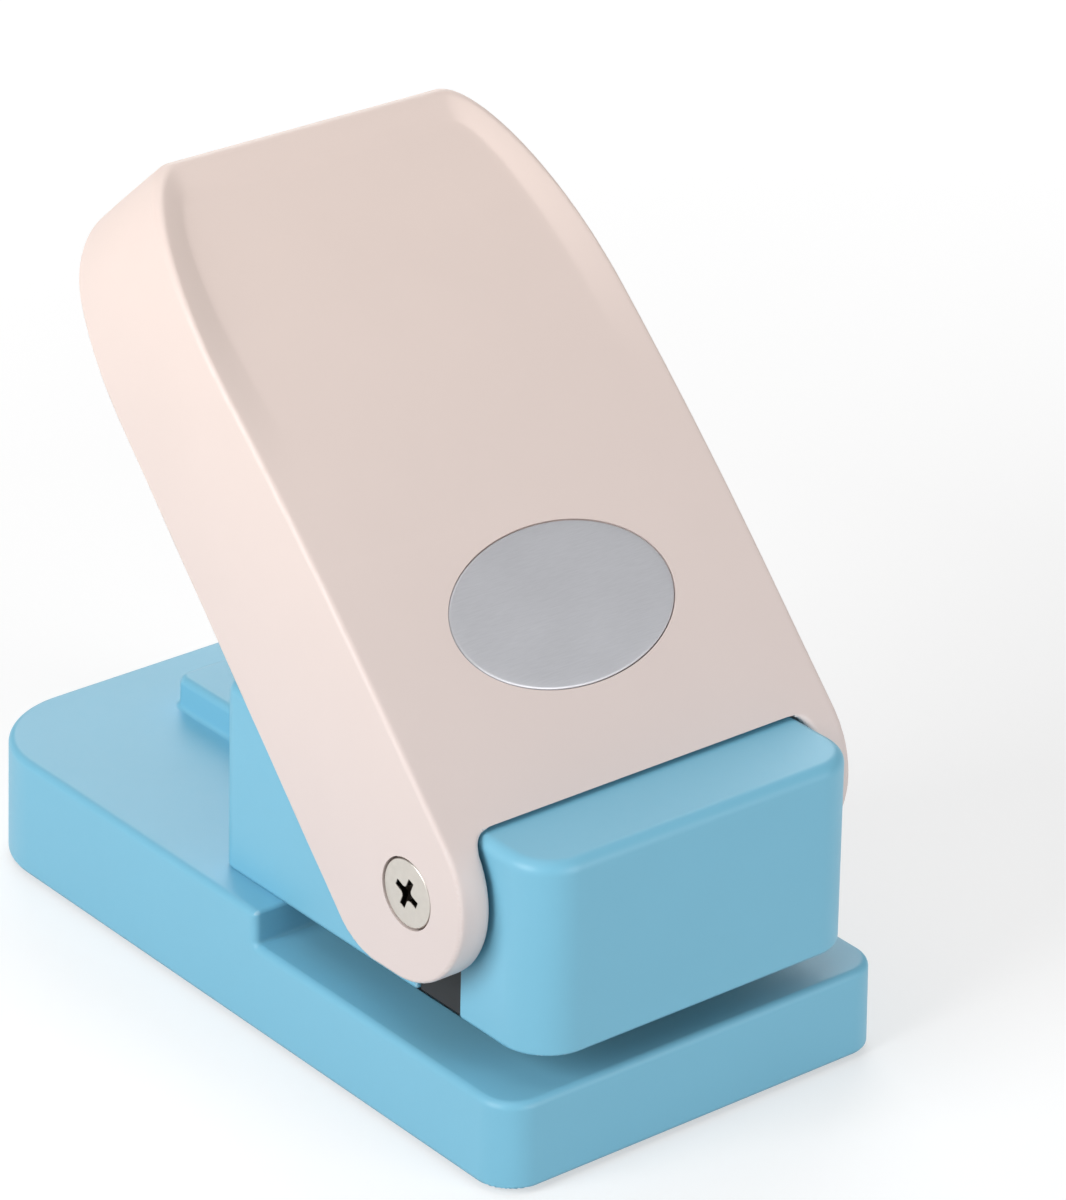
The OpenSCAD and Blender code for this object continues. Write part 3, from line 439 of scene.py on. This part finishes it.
def new_object(name, points, faces):
    mesh = bpy.data.meshes.new(name)
    mesh.from_pydata(points.tolist(), [], faces.tolist() if hasattr(faces, "tolist") else faces)
    mesh.update()
    obj = bpy.data.objects.new(name, mesh)
    bpy.context.scene.collection.objects.link(obj)
    return obj


def apply_modifiers(obj):
    """Bakes the modifiers into the object's own mesh."""
    graph = bpy.context.evaluated_depsgraph_get()
    mesh = bpy.data.meshes.new_from_object(obj.evaluated_get(graph))
    obj.modifiers.clear()
    old = obj.data
    obj.data = mesh
    bpy.data.meshes.remove(old)


def thin_out(obj, faces):
    """Leaves about as many triangles as faces says."""
    modifier = obj.modifiers.new("thin", "DECIMATE")
    modifier.ratio = min(1, faces / (2 * len(obj.data.polygons)))
    apply_modifiers(obj)


def cut_away(obj, cutter):
    """Cuts a closed form out of an object and removes the cutter."""
    modifier = obj.modifiers.new("cut", "BOOLEAN")
    modifier.operation = "DIFFERENCE"
    modifier.solver = "EXACT"
    modifier.object = cutter
    apply_modifiers(obj)
    bpy.data.objects.remove(cutter)


def mark(obj, name, values, domain="POINT"):
    """Stores a number on each point or face corner, for the materials to read."""
    attribute = obj.data.attributes.new(name, "FLOAT", domain)
    attribute.data.foreach_set("value", values.astype(np.float32))


def points_of(obj):
    points = np.empty(len(obj.data.vertices) * 3)
    obj.data.vertices.foreach_get("co", points)
    return points.reshape(-1, 3)


def shade_by_field(obj, field, step):
    """Normals from the slope of the field, apart from faces that were cut, and a mark on the narrow faces along
    sharp edges, which the plastics paint pale, partly as wear and partly as a painted highlight."""
    mesh = obj.data
    points = points_of(obj)
    slope, value = slope_of(field, points, step / SLOPE_SHARE)
    normal = slope / np.maximum(np.linalg.norm(slope, axis=1), 1e-9)[:, None]
    bend = -6 * value
    for axis in range(3):
        reach = np.zeros(3)
        reach[axis] = step
        bend += field(*(points + reach).T) + field(*(points - reach).T)
    corners = np.empty(len(mesh.loops), np.int64)
    mesh.loops.foreach_get("vertex_index", corners)
    flat = np.empty(len(mesh.polygons) * 3)
    mesh.polygons.foreach_get("normal", flat)
    sizes = np.empty(len(mesh.polygons), np.int64)
    mesh.polygons.foreach_get("loop_total", sizes)
    areas = np.empty(len(mesh.polygons))
    mesh.polygons.foreach_get("area", areas)
    wear_and_highlight = np.clip(bend / step**2 - SHARP, 0, 1)[corners]
    least = np.minimum.reduceat(wear_and_highlight, np.cumsum(sizes) - sizes)
    narrow = (least > 0) & (areas < NARROW * step**2)
    mark(obj, "edge", wear_and_highlight * np.repeat(narrow, sizes), "CORNER")
    flat = np.repeat(flat.reshape(-1, 3), sizes, axis=0)
    along = normal[corners]
    cut = (flat * along).sum(1) < CUT_TURN
    along[cut] = flat[cut]
    mesh.polygons.foreach_set("use_smooth", np.ones(len(mesh.polygons), bool))
    mesh.normals_split_custom_set(along.tolist())


def moulded(name, field, low, high, step, faces, place=None, cutters=(), recess_shade=None):
    """Piece with the surface of a field. place takes the field's frame to the object's frame, and a painted shade
    mark lies where the given shade field is below zero."""
    points, quads = surface_net(field, low, high, step)
    obj = new_object(name, settle(field, points, step), quads)
    thin_out(obj, faces)
    for cutter in cutters:
        cut_away(obj, cutter)
    shade_by_field(obj, field, step)
    # mark the recesses that get painted shade
    if recess_shade:
        mark(obj, "recess_shade", np.clip(-recess_shade(*points_of(obj).T) / step, 0, 1))
    matrix = Matrix.Scale(MM, 4) @ (place or Matrix.Identity(4))
    obj.data.transform(matrix)
    return obj


def prism(name, outline, low, high):
    """Closed form between two levels over an outline of (x, y)."""
    count = len(outline)
    points = [(x, y, level) for level in (low, high) for x, y in outline]
    walls = [(i, (i + 1) % count, count + (i + 1) % count, count + i) for i in range(count)]
    ends = [tuple(range(count - 1, -1, -1)), tuple(range(count, 2 * count))]
    return new_object(name, np.array(points), walls + ends)


def oval(half_x, half_y):
    turns = [2 * math.pi * i / OVAL_POINTS for i in range(OVAL_POINTS)]
    return [(half_x * math.cos(a), half_y * math.sin(a)) for a in turns]


def ring_faces(rings, count):
    """Four-sided faces between rings of count points each."""
    faces = []
    for r in range(rings - 1):
        here, there = r * count, (r + 1) * count
        for i in range(count):
            after = (i + 1) % count
            faces.append((here + i, here + after, there + after, there + i))
    return faces


def smooth_quads(obj):
    """Smooth shading on the four-sided faces alone, so that flat ends stay crisp."""
    obj.data.polygons.foreach_set("use_smooth", [len(p.vertices) == 4 for p in obj.data.polygons])


# Materials, with each noise as cycles per metre and detail and each bump as strength and depth
# near-black painted shade, laid into the cross recesses of the pivot screws
RECESS_SHADE_COLOUR = (0.035, 0.027, 0.022)
# heights in metres over which the painted cool shade low down fades out
SHADE_TINT_BOTTOM, SHADE_TINT_TOP = 0.03, 0.095
PLASTIC_DRIFT, PALE_EDGE_PATCHES = (55, 3), (400, 4)
PLASTIC_STAIN, PLASTIC_GRAIN = (900, 3), (3200, 2)
# the largest share of pale on the edges, which is partly wear and partly a painted highlight
DRIFT_LEAST, PALE_EDGE_MOST = 0.955, 0.5
PLASTIC_ROUGH_BAND = 0.05
PLASTIC_BUMP = (0.08, 0.00004)
PLASTIC_IOR = 1.47
METAL_DETAIL = 4
METAL_STAIN = (160, 4)
METAL_DULL = 0.86
METAL_ROUGH_BAND = 0.07
METAL_BUMP = (0.1, 0.00003)
RUBBER_TONE, RUBBER_STAIN, RUBBER_GRAIN = (700, 4), (300, 3), (2500, 3)
RUBBER_PALE = 1.5
RUBBER_ROUGH = (0.7, 0.9)
RUBBER_BUMP = (0.2, 0.00005)


def nodes_of(name):
    material = bpy.data.materials.new(name)
    material.use_nodes = True
    tree = material.node_tree
    return material, tree, tree.nodes["Principled BSDF"]


def add(tree, kind, **inputs):
    node = tree.nodes.new(kind)
    for key, value in inputs.items():
        if key in node.inputs:
            node.inputs[key].default_value = value
        else:
            setattr(node, key, value)
    return node


def noise(tree, scale, detail=2.0, stretch=(1, 1, 1)):
    """Noise over the object's own coordinates, in cycles per metre."""
    place = add(tree, "ShaderNodeTexCoord")
    mapping = add(tree, "ShaderNodeMapping", Scale=stretch)
    tree.links.new(place.outputs["Object"], mapping.inputs["Vector"])
    texture = add(tree, "ShaderNodeTexNoise", Scale=scale, Detail=detail)
    tree.links.new(mapping.outputs["Vector"], texture.inputs["Vector"])
    return texture.outputs["Fac"]


def spread(tree, value, low, high, start=0.0, end=1.0):
    """Takes a value from start..end to low..high."""
    node = add(tree, "ShaderNodeMapRange")
    for key, setting in (("From Min", start), ("From Max", end), ("To Min", low), ("To Max", high)):
        node.inputs[key].default_value = setting
    tree.links.new(value, node.inputs["Value"])
    return node.outputs["Result"]


def calculate(tree, operation, first, second, clamp=False):
    node = add(tree, "ShaderNodeMath", operation=operation, use_clamp=clamp)
    tree.links.new(first, node.inputs[0])
    tree.links.new(second, node.inputs[1])
    return node.outputs[0]


def mix_colour(tree, share, first, second):
    node = add(tree, "ShaderNodeMix", data_type="RGBA")
    for socket, colour in ((node.inputs[6], first), (node.inputs[7], second)):
        if isinstance(colour, bpy.types.NodeSocket):
            tree.links.new(colour, socket)
        else:
            socket.default_value = (*colour, 1)
    tree.links.new(share, node.inputs[0])
    return node.outputs[2]


def set_rough(tree, shader, pattern, low, high):
    tree.links.new(spread(tree, noise(tree, *pattern), low, high), shader.inputs["Roughness"])


def bump(tree, shader, height, strength, distance):
    node = add(tree, "ShaderNodeBump", Strength=strength, Distance=distance)
    tree.links.new(height, node.inputs["Height"])
    tree.links.new(node.outputs["Normal"], shader.inputs["Normal"])


def plastic(name, colour, pale, rough, low_shade_tint=(1, 1, 1)):
    """Satin moulded plastic: a painted cooler, darker shade low down, slow drift of tone, a fine spark-eroded
    grain and sharp edges made pale, partly as wear and partly as a painted highlight."""
    material, tree, shader = nodes_of(name)
    # painted shade: the colour turns cooler and darker towards the bottom
    low = tuple(c * tint for c, tint in zip(colour, low_shade_tint))
    height = add(tree, "ShaderNodeSeparateXYZ")
    tree.links.new(add(tree, "ShaderNodeTexCoord").outputs["Object"], height.inputs[0])
    rise = spread(tree, height.outputs["Z"], 0.0, 1.0, SHADE_TINT_BOTTOM, SHADE_TINT_TOP)
    drift = add(tree, "ShaderNodeHueSaturation")
    tree.links.new(mix_colour(tree, rise, low, colour), drift.inputs["Color"])
    tree.links.new(spread(tree, noise(tree, *PLASTIC_DRIFT), DRIFT_LEAST, 1.0), drift.inputs["Value"])
    # pale sharp edges: partly wear and partly a painted highlight along the rims
    edge = add(tree, "ShaderNodeAttribute", attribute_name="edge")
    patchy = spread(tree, noise(tree, *PALE_EDGE_PATCHES), 0.0, PALE_EDGE_MOST)
    wear_and_highlight = calculate(tree, "MULTIPLY", edge.outputs["Fac"], patchy)
    tree.links.new(mix_colour(tree, wear_and_highlight, drift.outputs["Color"], pale), shader.inputs["Base Color"])
    set_rough(tree, shader, PLASTIC_STAIN, rough - PLASTIC_ROUGH_BAND, rough + PLASTIC_ROUGH_BAND)
    bump(tree, shader, noise(tree, *PLASTIC_GRAIN), *PLASTIC_BUMP)
    shader.inputs["IOR"].default_value = PLASTIC_IOR
    return material


def metal(name, colour, rough, stretch=(1, 1, 1), scale=900, metallic=1.0):
    """Metal with fine lines or grain, stains in its roughness and painted shade in the recesses that an attribute
    marks.
    """
    material, tree, shader = nodes_of(name)
    dull = tuple(c * METAL_DULL for c in colour)
    lines = noise(tree, scale, METAL_DETAIL, stretch)
    recess_shade = add(tree, "ShaderNodeAttribute", attribute_name="recess_shade")
    # painted shade: the marked recesses turn near-black
    tone = mix_colour(tree, recess_shade.outputs["Fac"], mix_colour(tree, lines, dull, colour), RECESS_SHADE_COLOUR)
    tree.links.new(tone, shader.inputs["Base Color"])
    set_rough(tree, shader, METAL_STAIN, rough - METAL_ROUGH_BAND, rough + METAL_ROUGH_BAND)
    bump(tree, shader, lines, *METAL_BUMP)
    shader.inputs["Metallic"].default_value = metallic
    return material


def rubber(name, colour):
    material, tree, shader = nodes_of(name)
    pale = tuple(c * RUBBER_PALE for c in colour)
    tree.links.new(mix_colour(tree, noise(tree, *RUBBER_TONE), colour, pale), shader.inputs["Base Color"])
    set_rough(tree, shader, RUBBER_STAIN, *RUBBER_ROUGH)
    bump(tree, shader, noise(tree, *RUBBER_GRAIN), *RUBBER_BUMP)
    return material


# the second colour of each plastic is its pale edge colour, partly wear and partly a painted highlight
FINISHES = {
    "blue_plastic": plastic("blue_plastic", (0.205, 0.530, 0.710), (0.62, 0.80, 0.90), 0.42),
    # the cream's last colour paints a cooler, darker shade on its lower part
    "cream_plastic": plastic(
        "cream_plastic", (0.885, 0.738, 0.674), (0.95, 0.94, 0.93), 0.45, (0.85, 0.89, 0.94),
    ),
    "plaque_silver": metal(
        "plaque_silver", (0.75, 0.755, 0.795), 0.42, stretch=(1, 12, 12), scale=500, metallic=0.45,
    ),
    "nickel_screw": metal("nickel_screw", (0.69, 0.65, 0.595), 0.36),
    "dark_steel": metal("dark_steel", (0.034, 0.035, 0.037), 0.60, metallic=0.3),
    "tool_steel": metal("tool_steel", (0.50, 0.51, 0.53), 0.30, stretch=(1, 10, 1)),
    "spring_wire": metal("spring_wire", (0.45, 0.46, 0.48), 0.28),
    "bush_brass": metal("bush_brass", (0.62, 0.46, 0.20), 0.32),
    "cast_zinc": metal("cast_zinc", (0.36, 0.37, 0.39), 0.50),
    "foot_rubber": rubber("foot_rubber", (0.030, 0.030, 0.032)),
}


def dress(piece, body, slot, *nodes):
    """Gives a new piece its finish, its body and the solids that it stands for."""
    piece.data.materials.clear()
    piece.data.materials.append(FINISHES[slot])
    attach(piece, body)
    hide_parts(*nodes)


# Shells
lever_frame = Matrix.Translation((0, pivot_y, pivot_z)) @ Matrix.Rotation(LEVER_ANGLE, 4, "X")
base = moulded("base_moulding", base_field, base_low, base_high, SHELL_STEP, SHELL_FACES)
dress(base, "base", "blue_plastic", "base_shell")

head = moulded("head_moulding", head_field, head_low, head_high, SHELL_STEP, SHELL_FACES)
dress(head, "base", "blue_plastic", "head_housing")

plaque_place = Matrix.Translation((0, PLAQUE_S, crown(PLAQUE_S)))
plaque_pocket = prism(
    "plaque_pocket", oval(PLAQUE_HALF_W + PLAQUE_ROOM, PLAQUE_HALF_L + PLAQUE_ROOM), -PLAQUE_T, CUT_ABOVE,
)
plaque_pocket.data.transform(plaque_place)
screw_pockets = []
for side in (-1, 1):
    pocket = prism(
        "screw_pocket", oval(SCREW_R + SCREW_ROOM, SCREW_R + SCREW_ROOM),
        lever_half_w - SCREW_T - SCREW_SINK, lever_half_w + CUT_ABOVE,
    )
    turn = Matrix.Rotation(side * math.pi / 2, 4, "Y")
    pocket.data.transform(Matrix.Translation((0, *SCREW_SHIFT)) @ turn)
    screw_pockets.append(pocket)
lever = moulded(
    "lever_moulding", lever_field,
    (-lever_half_w, EAR_S - EAR_R, -LEVER_LOW), (lever_half_w, LEVER_REACH, ROOF_N),
    SHELL_STEP, SHELL_FACES, lever_frame, [plaque_pocket, *screw_pockets],
)
dress(lever, "lever", "cream_plastic", "lever_shell")


def plaque_plate():
    """Thin oval plate that follows the crown of the roof, with a softly turned edge."""
    rings = PLAQUE_EDGE + [(share, -PLAQUE_SINK) for share in PLAQUE_RINGS]
    points = []
    for share, depth in rings:
        for x, y in oval(PLAQUE_HALF_W * share, PLAQUE_HALF_L * share):
            points.append((x, y, crown(PLAQUE_S + y) - crown(PLAQUE_S) + depth))
    last = (len(rings) - 1) * OVAL_POINTS
    faces = ring_faces(len(rings), OVAL_POINTS)
    faces.append(tuple(range(last, last + OVAL_POINTS)))
    faces.append(tuple(range(OVAL_POINTS - 1, -1, -1)))
    obj = new_object("plaque_plate", np.array(points), faces)
    obj.data.transform(Matrix.Scale(MM, 4) @ lever_frame @ plaque_place)
    smooth_quads(obj)
    return obj


dress(plaque_plate(), "lever", "plaque_silver", "plaque")


def pivot_screw_pair():
    """Both pivot screw heads in one piece, each with a cross recess."""
    turn = Matrix.Rotation(SCREW_TURN, 4, "Z")
    halves = []
    for side in (-1, 1):
        place = (
            Matrix.Translation((side * (lever_half_w - SCREW_T - SCREW_SINK), pivot_y, pivot_z))
            @ Matrix.Rotation(side * math.pi / 2, 4, "Y") @ turn
        )
        # the cross recesses of the screws get painted shade
        halves.append(moulded(
            "screw", screw_field, (-SCREW_R, -SCREW_R, 0), (SCREW_R, SCREW_R, SCREW_T),
            SCREW_STEP, SCREW_FACES, place, recess_shade=screw_cross_shade,
        ))
    pair = halves[0]
    pair.name = "pivot_screw_pair"
    with bpy.context.temp_override(active_object=pair, selected_editable_objects=halves):
        bpy.ops.object.join()
    return pair


dress(pivot_screw_pair(), "lever", "nickel_screw", "pivot_screws")


def coil_spring(name, node):
    """One round wire, wound with closed ends between the guide plate and the roof of its tower."""
    low, high = box_mm(node)
    middle = (low + high) / 2
    coil_r = (high[0] - low[0]) / 2 - WIRE_R
    climb = high[2] - low[2] - 2 * WIRE_R
    end_turn = END_PITCH * WIRE_R / climb
    share = np.linspace(0, 1, TURN_POINTS * SPRING_TURNS + 1)
    turn = 2 * math.pi * SPRING_TURNS * share
    first = 1 / SPRING_TURNS
    rise = np.interp(share, [0, first, 1 - first, 1], [0, end_turn, 1 - end_turn, 1])
    out = np.stack([np.cos(turn), np.sin(turn), 0 * turn], 1)
    line = coil_r * out + np.stack([0 * turn, 0 * turn, WIRE_R + climb * rise], 1)
    along = np.gradient(line, axis=0)
    up = np.cross(out, along / np.linalg.norm(along, axis=1)[:, None])
    angles = [2 * math.pi * k / WIRE_SIDES for k in range(WIRE_SIDES)]
    sides = [line + WIRE_R * (math.cos(a) * out + math.sin(a) * up) for a in angles]
    points = np.stack(sides, 1).reshape(-1, 3) + (middle[0], middle[1], low[2])
    last = (len(line) - 1) * WIRE_SIDES
    faces = ring_faces(len(line), WIRE_SIDES)
    faces += [tuple(range(WIRE_SIDES - 1, -1, -1)), tuple(range(last, last + WIRE_SIDES))]
    obj = new_object(name, points * MM, faces)
    smooth_quads(obj)
    dress(obj, "base", "spring_wire", node)
    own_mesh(obj)


coil_spring("front_coil", "return_spring_front")
coil_spring("rear_coil", "return_spring_rear")

# Solids that keep their own shape
for node, obj in frame["nodes"].items():
    slot = next(p["material_slot"] for p in frame["record"]["subparts"] if p["node"] == node)
    obj.data.materials.clear()
    obj.data.materials.append(FINISHES[slot])


# Stage, light and camera
CAMERA_AZIMUTH = math.radians(39.388)
CAMERA_ELEVATION = math.radians(26.429)
CAMERA_ROLL = math.radians(1.195)
CAMERA_DISTANCE = 0.72012
CAMERA_TARGET = Vector((0.00155, -0.02108, 0.05625))
CAMERA_LENS = 178.715
SENSOR_W = 36
CLIP_NEAR, CLIP_FAR = 0.05, 20
FLOOR_SIZE = 8
FLOOR_GREY = (0.55, 0.55, 0.55, 1)
WHITE = (1, 1, 1, 1)
WORLD_LEVEL = 0.19
GLOW_NEAR, GLOW_FAR = 0.15, 0.9
GLOW_LOW, GLOW_HIGH = 0.5, 0.85
LAMPS = (  # name, place, width, power
    ("key_left", (-0.62, -0.01, 0.33), 0.45, 3.7),
    ("rear_soft", (0.70, 0.85, 0.58), 0.9, 5.6),
    ("front_fill", (0.25, -0.97, 0.27), 0.7, 5.2),
    ("top_soft", (-0.10, 0.15, 1.05), 0.8, 2.0),
)


def make_camera():
    camera = bpy.data.objects.new("camera", bpy.data.cameras.new("camera"))
    bpy.context.scene.collection.objects.link(camera)
    flat = math.cos(CAMERA_ELEVATION)
    back = Vector((
        -math.sin(CAMERA_AZIMUTH) * flat, -math.cos(CAMERA_AZIMUTH) * flat, math.sin(CAMERA_ELEVATION)
    ))
    right = Vector((math.cos(CAMERA_AZIMUTH), -math.sin(CAMERA_AZIMUTH), 0))
    up = back.cross(right)
    turned_right = math.cos(CAMERA_ROLL) * right + math.sin(CAMERA_ROLL) * up
    turned_up = back.cross(turned_right)
    matrix = Matrix((turned_right, turned_up, back)).transposed().to_4x4()
    matrix.translation = CAMERA_TARGET + CAMERA_DISTANCE * back
    camera.matrix_world = matrix
    camera.data.lens = CAMERA_LENS
    camera.data.sensor_width = SENSOR_W
    camera.data.clip_start, camera.data.clip_end = CLIP_NEAR, CLIP_FAR
    bpy.context.scene.camera = camera


def make_floor():
    """Wide white floor. Part of its white is its own to the camera, more so away from the lamps, so that
    the shadow stays soft and the background white."""
    bpy.ops.mesh.primitive_plane_add(size=FLOOR_SIZE)
    floor = bpy.context.object
    floor.name = "floor"
    material = bpy.data.materials.new("floor_white")
    material.use_nodes = True
    tree = material.node_tree
    tree.nodes.clear()
    diffuse = add(tree, "ShaderNodeBsdfDiffuse", Color=FLOOR_GREY)
    glow = add(tree, "ShaderNodeEmission", Color=WHITE)
    path = add(tree, "ShaderNodeLightPath").outputs
    seen = calculate(tree, "ADD", path["Is Camera Ray"], path["Is Glossy Ray"])
    seen = calculate(tree, "ADD", seen, path["Is Transmission Ray"], clamp=True)
    away = add(tree, "ShaderNodeVectorMath", operation="LENGTH")
    tree.links.new(add(tree, "ShaderNodeTexCoord").outputs["Object"], away.inputs[0])
    level = spread(tree, away.outputs["Value"], GLOW_LOW, GLOW_HIGH, GLOW_NEAR, GLOW_FAR)
    tree.links.new(calculate(tree, "MULTIPLY", seen, level), glow.inputs["Strength"])
    both = add(tree, "ShaderNodeAddShader")
    tree.links.new(diffuse.outputs[0], both.inputs[0])
    tree.links.new(glow.outputs[0], both.inputs[1])
    output = add(tree, "ShaderNodeOutputMaterial")
    tree.links.new(both.outputs[0], output.inputs["Surface"])
    floor.data.materials.append(material)


def make_world():
    """Even light on the object, and plain white to the camera."""
    world = bpy.data.worlds.new("studio")
    bpy.context.scene.world = world
    world.use_nodes = True
    tree = world.node_tree
    background = tree.nodes["Background"]
    background.inputs["Color"].default_value = WHITE
    path = add(tree, "ShaderNodeLightPath").outputs
    seen = calculate(tree, "ADD", path["Is Camera Ray"], path["Is Transmission Ray"], clamp=True)
    tree.links.new(spread(tree, seen, WORLD_LEVEL, 1.0), background.inputs["Strength"])


def make_lamp(name, place, aim, size, power):
    data = bpy.data.lights.new(name, "AREA")
    data.shape = "DISK"
    data.size = size
    data.energy = power
    lamp = bpy.data.objects.new(name, data)
    bpy.context.scene.collection.objects.link(lamp)
    lamp.location = place
    lamp.rotation_mode = "QUATERNION"
    lamp.rotation_quaternion = (Vector(aim) - Vector(place)).to_track_quat("-Z", "Y")


make_camera()
make_floor()
make_world()
for name, place, size, power in LAMPS:
    make_lamp(name, place, (cad_low + cad_high) / 2, size, power)
bpy.context.scene.view_settings.view_transform = "Standard"
